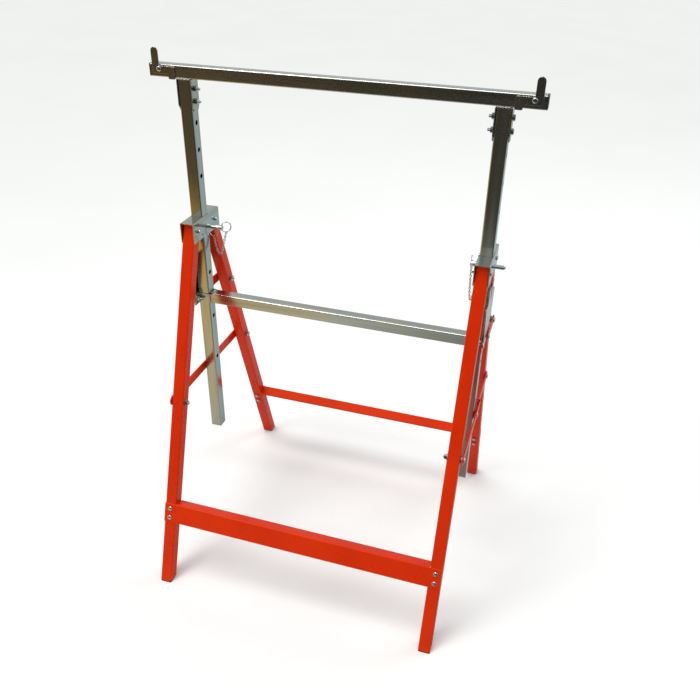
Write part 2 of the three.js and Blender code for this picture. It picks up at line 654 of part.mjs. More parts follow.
for (const { out, label } of FRAMES) {
  const frame = new THREE.Group();
  frame.position.set(0, out * PIVOT.y, PIVOT.z);
  frame.rotation.x = out * SPLAY;
  sawhorse.add(frame);
  place(frame, `${label}_rail`, 'orangePaint', rail(out));
  for (const { side, label: sideLabel } of SIDES) {
    const name = `${label}_${sideLabel}`;
    const braceSeat = (out > 0 ? BRACE.rear.far : BRACE.front.far) + GAP;
    const braceCollar = out > 0 ? 0 : BRACE.front.near - GAP;
    place(sawhorse, `pivot_bolt_${name}`, 'brightZinc', pivotBolt(side, out));
    place(frame, `leg_${name}`, 'orangePaint', leg(side, out));
    place(frame, `foot_plug_${name}`, 'plumRubber', footPlug(side, out));
    const braceBolt = legBolt(side, BRACE.legDistance, braceSeat, braceCollar);
    place(frame, `brace_bolt_${name}`, 'brightZinc', braceBolt);
    if (out > 0) {
      const collar = UPPER_LINK.near - GAP;
      const bolt = legBolt(side, UPPER_LINK.legDistance, UPPER_LINK.far + GAP, collar);
      place(frame, `link_bolt_${sideLabel}`, 'brightZinc', bolt);
    }
  }
}

for (const { side, label } of SIDES) {
  const braceZ = PIVOT.z - BRACE.legDistance * Math.cos(SPLAY);
  const linkY = PIVOT.y + UPPER_LINK.legDistance * Math.sin(SPLAY);
  place(sawhorse, `brace_front_${label}`, 'orangePaint', braceFront(side), -BRACE.reach, braceZ);
  place(sawhorse, `brace_rear_${label}`, 'orangePaint', braceRear(side), BRACE.reach, braceZ);
  place(sawhorse, `upper_link_${label}`, 'orangePaint', upperLink(side), linkY, MIDBAR.z);
}

export default sawhorse;
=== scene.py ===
"""Folding sawhorse: the detailed visual model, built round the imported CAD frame.

Shapes are worked out in millimetres, in the CAD model's own frame (X along the beam, Y to the
rear, Z up, floor at 0), and stored in metres. Leg frames are modelled about their pivots with
the legs hanging straight down, and then turned by the splay.
"""

import json
import math

import bmesh
import bpy
from mathutils import Matrix, Vector


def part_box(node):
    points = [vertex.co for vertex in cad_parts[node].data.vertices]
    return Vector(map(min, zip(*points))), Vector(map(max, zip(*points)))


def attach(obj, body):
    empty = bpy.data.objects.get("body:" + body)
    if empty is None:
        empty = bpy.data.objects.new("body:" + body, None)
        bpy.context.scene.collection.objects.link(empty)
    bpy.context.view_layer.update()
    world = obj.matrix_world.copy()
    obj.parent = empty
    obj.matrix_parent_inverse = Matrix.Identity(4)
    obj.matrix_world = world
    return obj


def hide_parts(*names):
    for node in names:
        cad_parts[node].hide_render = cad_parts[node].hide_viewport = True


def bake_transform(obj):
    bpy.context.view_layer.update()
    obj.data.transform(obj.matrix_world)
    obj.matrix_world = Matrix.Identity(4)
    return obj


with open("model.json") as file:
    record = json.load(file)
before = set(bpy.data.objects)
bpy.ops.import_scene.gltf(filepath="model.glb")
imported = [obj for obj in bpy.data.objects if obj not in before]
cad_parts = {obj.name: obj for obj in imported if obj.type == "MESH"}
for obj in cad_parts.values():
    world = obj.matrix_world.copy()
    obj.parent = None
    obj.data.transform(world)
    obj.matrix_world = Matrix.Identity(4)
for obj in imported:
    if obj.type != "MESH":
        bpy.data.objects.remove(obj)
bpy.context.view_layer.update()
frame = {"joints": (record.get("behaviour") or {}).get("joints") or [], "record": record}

# ------------------------ places and sizes

MM = 0.001
GAP = 0.3
CUT = 20  # how far cutting tools reach from a tube's middle line
SUNK = 0.4  # how far a bolt's shank starts inside its head
SIDES = {"left": -1, "right": 1}
ENDS = {"front": -1, "rear": 1}

joints = {joint["name"]: joint for joint in frame["joints"]}
mounts = {mount["name"]: mount for mount in frame["record"]["mounts"]}


def low_mm(node, axis):
    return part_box(node)[0][axis] / MM


def high_mm(node, axis):
    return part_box(node)[1][axis] / MM


def joint_mm(name, axis):
    return joints[name]["pos_m"][axis] / MM


FRAME_X = (low_mm("post_right", 0) + high_mm("post_right", 0)) / 2
TUBE = high_mm("post_right", 1) * 2
HALF = TUBE / 2
TUBE_WALL, TUBE_CORNER = 1.5, 2.6
TUBE_INNER = HALF - TUBE_WALL - GAP
BAR = high_mm("beam_tube", 2) - low_mm("beam_tube", 2)
BAR_WALL, BAR_CORNER = 1.5, 2.0
BEAM_TOP = high_mm("beam_tube", 2)
BEAM_END = high_mm("beam_cap_right", 0)
CAP_SHEET, CAP_DEPTH = 2.5, 12.4

PIVOT_Y, PIVOT_Z = joint_mm("rear_fold", 1), joint_mm("rear_fold", 2)
FOOT_Y = mounts["foot_rear_left"]["pos_m"][1] / MM
SPLAY = math.atan2(FOOT_Y - PIVOT_Y, PIVOT_Z)
FOOT_RUN = PIVOT_Z / math.cos(SPLAY)
LEG_ABOVE, SOLE, FOOT_STUB = 14.0, 2.0, 14.0

BRACKET_INSIDE, BRACKET_SHEET = 12.35, 1.6
BRACKET_TOP, BRACKET_BOTTOM = high_mm("head_bracket_left", 2), low_mm("head_bracket_left", 2)
BRACKET_HALF = high_mm("head_bracket_left", 1)
POST_LOW, POST_HIGH = low_mm("post_left", 2), high_mm("post_left", 2)
PIN_HOLES = [900 - 50 * n for n in (0, 1, 2, 4, 6, 8, 10)]
PIN_HOLE_RADIUS = 4.5
SADDLE_SHEET = 2.0
SADDLE_BOLTS = {"upper": 960.0, "lower": 938.0}

MIDBAR_Z = (low_mm("middle_bar", 2) + high_mm("middle_bar", 2)) / 2
MIDBAR_WALL_END, MIDBAR_JOGGLE, EAR_INNER, EAR_SHEET = 268.0, 262.0, 12.4, 1.5
EAR_BOLT_Y = {"front": -19.5, "rear": 21.0}
GUIDE_NEAR, GUIDE_FAR = 12.3, 13.9
GUIDE_HALF, GUIDE_TOP = 28, 559
CHEEK_NEAR, CHEEK_FAR = 14.3, 15.9  # upper part of each guide plate, outside the head bracket
CHEEK_FRONT, CHEEK_REAR, CHEEK_BEND, CHEEK_SHOULDER = 50, 54, (50, 596), 636.5
CHEEK_PRONG, CHEEK_SLOT, CHEEK_CORNER = 29, 5.5, 4

LINK_RUN = (PIVOT_Z - joint_mm("link_right_swing", 2)) / math.cos(SPLAY)
LINK_NEAR, LINK_FAR = 16.3, 18.8
BRACE_RUN = (PIVOT_Z - joint_mm("rear_brace_right_swing", 2)) / math.cos(SPLAY)
BRACE_REACH = joint_mm("rear_brace_right_swing", 1)
BRACE_Z = joint_mm("rear_brace_right_swing", 2)
BRACE_PLANES = {"rear": (12.4, 14.9), "front": (15.3, 17.8)}
BRACE_RADIUS, BRACE_BULB, BRACE_TAIL = 9.0, 10.5, 36.0

RAIL_NEAR, RAIL_SHEET, RAIL_FLANGE = 12.3, 1.2, 25.9
RAIL_FOLD, RAIL_BOTTOM, RAIL_BOLTS = 565.3, 606.7, (577.0, 597.0)
RAIL_FLANGE_END = 269.0

PIN_Z, PIN_TIP, PIN_SHOULDER, PIN_END, PIN_EYE = 700.0, 316.5, 267.25, 253.5, 256.5
PIN_RADIUS, PIN_HEAD = 4.0, 5.0
PIN_DRAWN = {"left": PIN_TIP + low_mm("locking_pin_left", 0),
             "right": PIN_TIP - high_mm("locking_pin_right", 0)}
PULL_RADIUS, PULL_WIRE = 10.0, 1.0
PULL_TURN = {"left": 45.0, "right": 80.0}
SPLIT_X, SPLIT_Y, SPLIT_Z, SPLIT_RADIUS, SPLIT_WIRE = 263.5, 18.3, 681.0, 9.36, 1.1
SPLIT_HOLE_Z, SMALL_HOLE = 689.0, 2.25
CHAIN_SAG = {
    "left": [(261, 17.3, 657), (256.5, 15.5, 643.5), (251, 13.5, 638), (245, 11.5, 642), (238.5, 9.3, 663)],
    "right": [(263.3, 17.8, 647), (261.8, 16.5, 627), (259.3, 14.4, 620), (257, 12.3, 627),
              (255.8, 10.8, 650)],
}
CHAIN_WIRE, CHAIN_LINK, CHAIN_WIDTH = 0.72, 7.2, 4.6

STOP_X, STOP_Z = abs(joint_mm("stop_right_swing", 0)), joint_mm("stop_right_swing", 2)
STOP_FACE, STOP_SHEET = -11.3, 2.0

BOLT_HOLE, BOLT_RADIUS, BOLT_PITCH, NUT_FLATS, NUT_BORE = 3.3, 2.9, 1.0, 9.3, 2.75
RAIL_HOLE, RAIL_BOLT_RADIUS, RAIL_BOLT_PITCH, RAIL_NUT_FLATS, RAIL_NUT_BORE = 2.6, 2.3, 0.8, 8, 2.2
STOP_HOLE, WELD_RADIUS = 2.3, 1.25
HEADS = {"pivot": (5.4, 2.8), "leg": (5.6, 2.9), "rail": (4.8, 2.5), "knee": (6, 2.6), "stop": (4.6, 1.7)}

# ------------------------ camera

CAMERA_PLACE = Vector((0.4067, -1.2340, 1.2580))
CAMERA_YAW, CAMERA_PITCH, CAMERA_ROLL = (math.radians(a) for a in (16.916, -31.304, 1.092))
LENS_MM, SENSOR_MM = 38.38, 36.0


def new_object(name, data):
    made = bpy.data.objects.new(name, data)
    bpy.context.scene.collection.objects.link(made)
    return made


def add_camera():
    yaw, pitch, roll = CAMERA_YAW, CAMERA_PITCH, CAMERA_ROLL
    forward = Vector((-math.sin(yaw) * math.cos(pitch), math.cos(yaw) * math.cos(pitch), math.sin(pitch)))
    level = Vector((math.cos(yaw), math.sin(yaw), 0))
    upright = level.cross(forward)
    right = math.cos(roll) * level + math.sin(roll) * upright
    up = math.cos(roll) * upright - math.sin(roll) * level
    turn = Matrix((right, up, -forward)).transposed().to_4x4()
    data = bpy.data.cameras.new("camera")
    data.lens = LENS_MM
    data.sensor_width = SENSOR_MM
    data.clip_start = 0.02
    camera = new_object("camera", data)
    camera.matrix_world = Matrix.Translation(CAMERA_PLACE) @ turn
    bpy.context.scene.camera = camera


add_camera()

# ------------------------ outlines, in millimetres


def arc(a, b, radius, start, end, steps):
    turns = [math.radians(start + (end - start) * i / steps) for i in range(steps + 1)]
    return [(a + radius * math.cos(t), b + radius * math.sin(t)) for t in turns]


def full_turn(count):
    return [2 * math.pi * i / count for i in range(count)]


def rounded_box(a0, a1, b0, b1, corner):
    return (
        arc(a1 - corner, b1 - corner, corner, 0, 90, 6)
        + arc(a0 + corner, b1 - corner, corner, 90, 180, 6)
        + arc(a0 + corner, b0 + corner, corner, 180, 270, 6)
        + arc(a1 - corner, b0 + corner, corner, 270, 360, 6)
    )


def rounded_square(a, b, half, corner):
    return rounded_box(a - half, a + half, b - half, b + half, corner)


def link_outline(reach, radius, end_radius):
    turn = 90 if reach > 0 else 270
    return arc(0, 0, radius, turn, turn + 180, 20) + arc(reach, 0, end_radius, turn - 180, turn, 20)


def channel_outline(centre, inside, sheet, bottom, top):
    """An inverted U of sheet metal, with the bends rounded inside and out."""
    outside, inner_bend = inside + sheet, 0.6
    bend = inner_bend + sheet
    return (
        [(centre + outside, bottom)]
        + arc(centre + outside - bend, top - bend, bend, 0, 90, 8)
        + arc(centre - outside + bend, top - bend, bend, 90, 180, 8)
        + [(centre - outside, bottom), (centre - inside, bottom)]
        + arc(centre - inside + inner_bend, top - bend, inner_bend, 180, 90, 4)
        + arc(centre + inside - inner_bend, top - bend, inner_bend, 90, 0, 4)
        + [(centre + inside, bottom)]
    )


# ------------------------ mesh building


def placed(axis, a, b, along):
    """A point of an outline drawn in (y, z), (x, z) or (x, y), at a distance along the axis."""
    return {"x": (along, a, b), "y": (a, along, b), "z": (a, b, along)}[axis]


def solid_prism(axis, outline, one_end, other_end):
    mesh = bmesh.new()
    reach = sorted((one_end, other_end))
    rings = [[mesh.verts.new(placed(axis, a, b, w)) for a, b in outline] for w in reach]
    join_rings(mesh, rings)
    for ring in rings:
        mesh.faces.new(ring)
    return mesh


def tube_prism(axis, outer, inner, low, high):
    mesh = bmesh.new()
    loops = [(outer, low), (outer, high), (inner, high), (inner, low)]
    rings = [[mesh.verts.new(placed(axis, a, b, w)) for a, b in loop] for loop, w in loops]
    join_rings(mesh, rings + rings[:1])
    return mesh


def join_rings(mesh, rings):
    for one, two in zip(rings, rings[1:]):
        count = max(len(one), len(two))
        for i in range(count):
            j = (i + 1) % count
            corners = [one[i % len(one)], one[j % len(one)], two[j % len(two)], two[i % len(two)]]
            unique = list(dict.fromkeys(corners))
            if len(unique) > 2:
                mesh.faces.new(unique)


def ring_mesh(point_rings, closed=False):
    """Skins a list of rings of points. A ring of one point is a pole."""
    mesh = bmesh.new()
    rings = [[mesh.verts.new(p) for p in ring] for ring in point_rings]
    if closed:
        rings.append(rings[0])
    join_rings(mesh, rings)
    if not closed:
        for ring in (rings[0], rings[-1]):
            if len(ring) > 2:
                mesh.faces.new(ring)
    return mesh


def turned(profile, segments=32, closed=False):
    """A turned shape about +Z from (radius, height) pairs."""
    rings = []
    for radius, height in profile:
        count = segments if radius > 0 else 1
        rings.append([(radius * math.cos(t), radius * math.sin(t), height) for t in full_turn(count)])
    return ring_mesh(rings, closed)


def block(x0, x1, y0, y1, z0, z1):
    return solid_prism("z", [(x0, y0), (x1, y0), (x1, y1), (x0, y1)], z0, z1)


def rod(axis, a, b, radius, one_end, other_end):
    outline = [(a + radius * math.cos(t), b + radius * math.sin(t)) for t in full_turn(32)]
    return solid_prism(axis, outline, one_end, other_end)


def merge(*meshes):
    """Several closed shells in one mesh."""
    whole = bmesh.new()
    for mesh in meshes:
        copy = bpy.data.meshes.new("shell")
        mesh.to_mesh(copy)
        whole.from_mesh(copy)
        bpy.data.meshes.remove(copy)
        mesh.free()
    return whole


def moved(mesh, matrix):
    bmesh.ops.transform(mesh, matrix=matrix, verts=mesh.verts)
    return mesh


def pointing(direction, place):
    """Matrix that takes +Z to a direction and the origin to a place."""
    turn = Vector((0, 0, 1)).rotation_difference(Vector(direction)).to_matrix().to_4x4()
    return Matrix.Translation(place) @ turn


def as_object(mesh, name):
    bmesh.ops.recalc_face_normals(mesh, faces=mesh.faces)
    bmesh.ops.scale(mesh, vec=(MM, MM, MM), verts=mesh.verts)
    data = bpy.data.meshes.new(name)
    mesh.to_mesh(data)
    mesh.free()
    return new_object(name, data)


def apply_modifiers(made):
    bpy.context.view_layer.update()
    graph = bpy.context.evaluated_depsgraph_get()
    data = bpy.data.meshes.new_from_object(made.evaluated_get(graph))
    old = made.data
    made.modifiers.clear()
    made.data = data
    bpy.data.meshes.remove(old)


def combine(made, tools, operation):
    """One exact boolean with several tool meshes at once; the tools don't touch each other."""
    tool = as_object(merge(*tools), "tool")
    step = made.modifiers.new("cut", "BOOLEAN")
    step.operation = operation
    step.solver = "EXACT"
    step.object = tool
    apply_modifiers(made)
    spare = tool.data
    bpy.data.objects.remove(tool)
    bpy.data.meshes.remove(spare)


def ease_edges(made, width):
    """Breaks the sharp edges by a width in millimetres and shades the flats flat."""
    made.data.shade_smooth()
    bevel = made.modifiers.new("edges", "BEVEL")
    bevel.width = width * MM
    bevel.segments = 2
    bevel.limit_method = "ANGLE"
    bevel.angle_limit = math.radians(40)
    bevel.use_clamp_overlap = True
    normals = made.modifiers.new("normals", "WEIGHTED_NORMAL")
    normals.keep_sharp = True
    apply_modifiers(made)


def smooth_by_angle(made, degrees=40):
    made.data.shade_smooth()
    made.data.set_sharp_from_angle(angle=math.radians(degrees))


def settle(made, body, look, node=None, place=None):
    """Gives a piece its material and its body, and hides the CAD node it stands for."""
    material, slot = LOOKS[look]
    made.data.materials.clear()
    made.data.materials.append(material)
    if place is not None:
        made.data.transform(place)
    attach(made, body)
    if node:
        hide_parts(node)


def metal_piece(node, mesh, body, look, place=None, cuts=(), bevel=0.3):
    """A cut and eased piece that stands for a CAD node."""
    made = as_object(mesh, f"{node}_fine")
    if cuts:
        combine(made, cuts, "DIFFERENCE")
    ease_edges(made, bevel)
    settle(made, body, look, node, place)


def small_piece(name, mesh, body, look="bright", place=None, node=None):
    """A nut, washer, rivet or weld bead, which stands for no CAD node unless one is given."""
    made = as_object(mesh, name)
    smooth_by_angle(made)
    settle(made, body, look, node, place)


def turned_piece(node, mesh, body, place=None):
    """A bright turned piece that stands for a CAD node."""
    small_piece(f"{node}_fine", mesh, body, place=place, node=node)


# ------------------------ materials


class Nodes:
    """Small helper that adds and links shader nodes."""

    def __init__(self, name):
        self.material = bpy.data.materials.new(name)
        self.material.use_nodes = True
        self.tree = self.material.node_tree
        self.shader = self.tree.nodes["Principled BSDF"]
        self.place = self.tree.nodes.new("ShaderNodeTexCoord").outputs["Object"]

    def add(self, kind, **settings):
        node = self.tree.nodes.new(kind)
        for key, value in settings.items():
            setattr(node, key, value)
        return node

    def link(self, source, target):
        self.tree.links.new(source, target)

    def fill(self, socket, value):
        """Sets a number or a colour on a socket, or links another node's output to it."""
        if isinstance(value, bpy.types.NodeSocket):
            self.link(value, socket)
        elif isinstance(value, tuple):
            socket.default_value = (*value, 1)
        else:
            socket.default_value = value

    def stretched(self, scale):
        mapping = self.add("ShaderNodeMapping")
        mapping.inputs["Scale"].default_value = scale
        self.link(self.place, mapping.inputs["Vector"])
        return mapping.outputs["Vector"]

    def noise(self, scale, detail=3.0, roughness=0.5, vector=None):
        node = self.add("ShaderNodeTexNoise")
        node.inputs["Scale"].default_value = scale
        node.inputs["Detail"].default_value = detail
        node.inputs["Roughness"].default_value = roughness
        self.link(vector or self.place, node.inputs["Vector"])
        return node.outputs["Fac"]

    def ramp(self, value, *stops):
        node = self.add("ShaderNodeValToRGB")
        points = node.color_ramp.elements
        while len(points) < len(stops):
            points.new(0.5)
        for point, (position, colour) in zip(points, stops):
            point.position = position
            point.color = (*colour, 1)
        self.link(value, node.inputs["Fac"])
        return node.outputs["Color"]

    def mix(self, factor, one, two, blend="MIX"):
        node = self.add("ShaderNodeMix", data_type="RGBA", blend_type=blend)
        for name, value in (("Factor", factor), ("A", one), ("B", two)):
            self.fill(next(s for s in node.inputs if s.name == name and s.enabled), value)
        return next(s for s in node.outputs if s.enabled)

    def range(self, value, low, high, start, end):
        node = self.add("ShaderNodeMapRange")
        settings = {"From Min": start, "From Max": end, "To Min": low, "To Max": high}
        for key, number in settings.items():
            node.inputs[key].default_value = number
        self.link(value, node.inputs["Value"])
        return node.outputs["Result"]

    def multiply(self, one, two):
        node = self.add("ShaderNodeMath", operation="MULTIPLY")
        self.fill(node.inputs[0], one)
        self.fill(node.inputs[1], two)
        return node.outputs["Value"]

    def bump(self, *layers):
        """Layers are (height, strength, distance in millimetres), finest last."""
        normal = None
        for height, strength, distance in layers:
            node = self.add("ShaderNodeBump")
            node.inputs["Strength"].default_value = strength
            node.inputs["Distance"].default_value = distance * MM
            self.link(height, node.inputs["Height"])
            if normal:
                self.link(normal, node.inputs["Normal"])
            normal = node.outputs["Normal"]
        self.link(normal, self.shader.inputs["Normal"])

    def set(self, **values):
        for key, value in values.items():
            self.fill(self.shader.inputs[key.replace("_", " ")], value)


def paint_material():
    """Orange-red stove enamel: slight orange peel, cloudy tone, faint rubbed marks and dust."""
    n = Nodes("orange_enamel")
    cloud = n.noise(9, 4)
    tone = n.ramp(cloud, (0.3, (0.56, 0.017, 0.0003)), (0.7, (0.64, 0.024, 0.0005)))
    grain = n.noise(900, 2)
    speck = n.ramp(grain, (0.35, (0.93, 0.93, 0.93)), (0.6, (1, 1, 1)))
    tone = n.mix(1.0, tone, speck, "MULTIPLY")
    rub = n.noise(38, 6, 0.72)
    rubbed = n.ramp(rub, (0.66, (0, 0, 0)), (0.8, (1, 1, 1)))
    tone = n.mix(n.multiply(rubbed, 0.12), tone, (0.72, 0.12, 0.04))
    peel = n.noise(420, 2)
    n.set(Base_Color=tone, Metallic=0.0, Roughness=n.range(rub, 0.24, 0.38, 0.35, 0.75))
    n.set(Specular_IOR_Level=0.28, Specular_Tint=(1.0, 0.52, 0.22))
    n.bump((cloud, 0.05, 0.5), (peel, 0.08, 0.06))
    return n.material


def zinc_material(name, stretch):
    """Bright zinc plate on drawn tube or strip: draw marks along it, cloudy tint, small dull spots."""
    n = Nodes(name)
    along = n.stretched(stretch)
    marks = n.noise(330, 4, 0.6, along)
    bands = n.noise(70, 3, 0.5, along)
    cloud = n.noise(14, 5, 0.6)
    tint = n.noise(5.5, 3)
    tone = n.mix(n.range(tint, 0, 1, 0.35, 0.68), (0.50, 0.50, 0.46), (0.44, 0.49, 0.52))
    tone = n.mix(n.range(cloud, 0, 0.6, 0.4, 0.7), tone, (0.56, 0.49, 0.34))
    tone = n.mix(n.range(marks, 0, 0.55, 0.42, 0.8), tone, (0.24, 0.24, 0.21))
    tone = n.mix(n.range(bands, 0, 0.5, 0.48, 0.75), tone, (0.72, 0.73, 0.70))
    spots = n.noise(190, 2, 0.5)
    dull = n.ramp(spots, (0.68, (0, 0, 0)), (0.74, (1, 1, 1)))
    tone = n.mix(n.multiply(dull, 0.18), tone, (0.62, 0.62, 0.58))
    rough = n.mix(0.5, n.range(cloud, 0.12, 0.26, 0.3, 0.75), n.range(bands, 0.12, 0.24, 0.35, 0.75))
    n.set(Base_Color=tone, Metallic=1.0, Roughness=rough)
    n.bump((cloud, 0.12, 0.4), (bands, 0.30, 0.08), (marks, 0.16, 0.03))
    return n.material


def fastener_material(name, colour, rough):
    """Bright zinc on small turned and pressed parts."""
    n = Nodes(name)
    cloud = n.noise(160, 4, 0.6)
    fine = n.noise(1400, 2)
    tone = n.mix(n.range(cloud, 0, 1, 0.3, 0.75), colour, tuple(c * 0.72 for c in colour))
    n.set(Base_Color=tone, Metallic=1.0, Roughness=n.range(cloud, rough, rough + 0.14, 0.3, 0.75))
    n.bump((cloud, 0.12, 0.06), (fine, 0.08, 0.02))
    return n.material


def plastic_material(name, colour, rough, grain_strength):
    n = Nodes(name)
    cloud = n.noise(60, 4)
    grain = n.noise(1100, 2)
    tone = n.mix(n.range(cloud, 0, 1, 0.3, 0.7), colour, tuple(c * 1.35 for c in colour))
    n.set(Base_Color=tone, Metallic=0.0, Roughness=n.range(cloud, rough - 0.06, rough + 0.1, 0.3, 0.7))
    n.set(Specular_IOR_Level=0.4)
    n.bump((cloud, 0.06, 0.3), (grain, grain_strength, 0.05))
    return n.material


GRAIN = 0.02  # scale of the draw marks along the grain, so that they run long
LOOKS = {
    "paint": (paint_material(), "orange_paint"),
    "zinc_x": (zinc_material("zinc_drawn_along_x", (GRAIN, 1, 1)), "zinc_plate"),
    "zinc_y": (zinc_material("zinc_rolled_along_y", (1, GRAIN, 1)), "zinc_plate"),
    "zinc_z": (zinc_material("zinc_drawn_along_z", (1, 1, GRAIN)), "zinc_plate"),
    "bright": (fastener_material("bright_zinc", (0.66, 0.69, 0.70), 0.10), "bright_fastener"),
    "washer": (fastener_material("dull_zinc", (0.34, 0.34, 0.31), 0.30), "bright_fastener"),
    "weld": (fastener_material("weld_bead", (0.50, 0.49, 0.44), 0.34), "zinc_plate"),
    "black": (plastic_material("black_plastic", (0.012, 0.012, 0.013), 0.42, 0.2), "black_plastic"),
    "plug": (plastic_material("grey_plastic", (0.30, 0.31, 0.26), 0.45, 0.12), "post_plug_grey"),
    "foot": (plastic_material("dark_foot_plastic", (0.030, 0.009, 0.008), 0.55, 0.2), "foot_plug_dark"),
}

# ------------------------ tubes, holes and bolts


def square_tube(axis, a, b, size, wall, corner, low, high):
    half = size / 2
    inner = rounded_square(a, b, half - wall, corner - wall)
    return tube_prism(axis, rounded_square(a, b, half, corner), inner, low, high)


def at(side, offset):
    """X of a plane at an offset outwards from a post's centre."""
    return SIDES[side] * (FRAME_X + offset)


def slab(side, outline, near, far):
    return solid_prism("x", outline, at(side, near), at(side, far))


def across(side, y, z, radius, near=-CUT, far=CUT):
    return rod("x", y, z, radius, at(side, near), at(side, far))


def dome_head(kind):
    """Low domed head standing on z = 0."""
    radius, height = HEADS[kind]
    rim = height * 0.22
    crown = [(radius * math.cos(t), rim + (height - rim) * math.sin(t))
             for t in (math.radians(a) for a in (0, 12, 26, 40, 54, 68, 80))]
    return turned([(0, 0), (radius * 0.96, 0), (radius, rim * 0.4)] + crown + [(0, height)])


def hex_body(across_flats, height, bore=0.0):
    """Hexagon standing on z = 0, chamfered on top. A nut has a bore and is chamfered below too."""
    flat = across_flats / 2

    def corner(t):
        return flat / math.cos((t % (math.pi / 3)) - math.pi / 6)

    def ring(radius_of, height_of):
        return [(radius_of(t) * math.cos(t), radius_of(t) * math.sin(t), height_of(t))
                for t in full_turn(48)]

    fall = math.tan(math.radians(28))
    washer_face = flat * 0.95

    def chamfer(t):
        return (corner(t) - washer_face) * fall

    high = [ring(corner, lambda t: height - chamfer(t)), ring(lambda t: washer_face, lambda t: height)]
    if not bore:
        return ring_mesh([ring(corner, lambda t: 0)] + high)
    low = [ring(lambda t: washer_face, lambda t: 0), ring(corner, chamfer)]
    mouth, countersink = bore * 1.12, 0.4
    inner = [ring(lambda t: mouth, lambda t: height), ring(lambda t: bore, lambda t: height - countersink),
             ring(lambda t: bore, lambda t: countersink), ring(lambda t: mouth, lambda t: 0)]
    return ring_mesh(low + high + inner, closed=True)


def washer_body(thickness):
    radius, bore, ease = 6.8, 3.1, 0.2
    return turned([(bore, 0), (radius - ease, 0), (radius, ease), (radius, thickness - ease),
                   (radius - ease, thickness), (bore, thickness)], 40, closed=True)


def threaded_rod(radius, pitch, length):
    """Rod from z = 0 with a real helical thread and a chamfered tip."""
    depth, step = 0.55 * pitch, pitch / 4
    rings = []
    for k in range(int(length / step) + 1):
        z = min(k * step, length)
        taper = max(0.0, z - (length - 1.0)) * 0.7
        ring = []
        for turn in full_turn(24):
            phase = (z / pitch - turn / (2 * math.pi)) % 1.0
            r = radius - depth * (1 - abs(2 * phase - 1)) - taper
            ring.append((r * math.cos(turn), r * math.sin(turn), z))
        rings.append(ring)
    return ring_mesh([[(0, 0, 0)]] + rings + [[(0, 0, length)]])


def outward(side, y, z, offset, direction=1):
    """Matrix for a small part on a post's or leg's side: its +Z points away from the middle."""
    return pointing((SIDES[side] * direction, 0, 0), (at(side, offset), y, z))


def bolt_rod(side, y, z, start, length):
    """Threaded part of a bolt across a tube, from an offset outside it inwards."""
    return moved(threaded_rod(BOLT_RADIUS, BOLT_PITCH, length), outward(side, y, z, start, -1))


def bolt_nut(side, y, z, offset, height, flats=NUT_FLATS):
    return moved(hex_body(flats, height, NUT_BORE), outward(side, y, z, offset, -1))


def frame_place(end):
    """A leg frame's own place: its pivot line, with the legs turned out by the splay."""
    out = ENDS[end]
    return Matrix.Translation((0, out * PIVOT_Y * MM, PIVOT_Z * MM)) @ Matrix.Rotation(out * SPLAY, 4, "X")


# ------------------------ beam


def build_beam():
    middle = BEAM_TOP - BAR / 2
    reach = high_mm("beam_tube", 0)
    holes = [rod("y", sign * STOP_X, STOP_Z, STOP_HOLE, -BAR / 2 - 1, -BAR / 2 + 3)
             for sign in SIDES.values()]
    tube = square_tube("x", 0, middle, BAR, BAR_WALL, BAR_CORNER, -reach, reach)
    metal_piece("beam_tube", tube, "beam_lift", "zinc_x", cuts=holes, bevel=0.25)
    for side, sign in SIDES.items():
        flange = solid_prism("x", rounded_square(0, middle, BAR / 2, 2.2),
                             sign * (BEAM_END - CAP_SHEET), sign * BEAM_END)
        stub = solid_prism("x", rounded_square(0, middle, BAR / 2 - BAR_WALL - GAP, 2),
                           sign * (BEAM_END - CAP_DEPTH), sign * (BEAM_END - CAP_SHEET + 0.1))
        metal_piece(f"beam_cap_{side}", merge(flange, stub), "beam_lift", "black", bevel=0.7)


def weld_bead(seam):
    """Rippled bead of weld along a line of points, thinner at its ends."""
    route = catmull_rom(seam, 6)
    rings = []
    for k, point in enumerate(route):
        along = (route[min(k + 1, len(route) - 1)] - route[max(k - 1, 0)]).normalized()
        up = Vector((0, 0, 1)) - along * along.z
        across_bead = along.cross(up)
        swell = WELD_RADIUS * (0.86 + 0.14 * math.sin(k * 1.9)) * (0.6 if k in (0, len(route) - 1) else 1)
        rings.append([point + (up * math.cos(t) + across_bead * math.sin(t)) * swell
                      for t in full_turn(10)])
    return ring_mesh(rings)


def stop_outline(sign):
    """Front view of a stop: an arm along the beam, its finger outside and a lobe below its inner end."""
    inner, outer, top = 327.0, 340.5, high_mm("beam_stop_right", 2)
    arm, lobe, arm_top, arm_bottom = 297.0, 310.0, 997.0, 984.3
    tip, heel, fillet, small = (outer - inner) / 2, 5.0, 3.0, 2.5
    bottom = low_mm("beam_stop_right", 2)
    points = (
        arc(arm + small, bottom + small, small, 180, 270, 5)
        + arc(lobe - small, bottom + small, small, 270, 360, 5)
        + arc(lobe + small, arm_bottom - small, small, 180, 90, 5)
        + arc(outer - heel, arm_bottom + heel, heel, 270, 360, 8)
        + arc(outer - tip, top - tip, tip, 0, 180, 20)
        + arc(inner - fillet, arm_top + fillet, fillet, 360, 270, 6)
        + arc(arm + fillet, arm_top - fillet, fillet, 90, 180, 6)
    )
    return [(sign * x, z) for x, z in points]


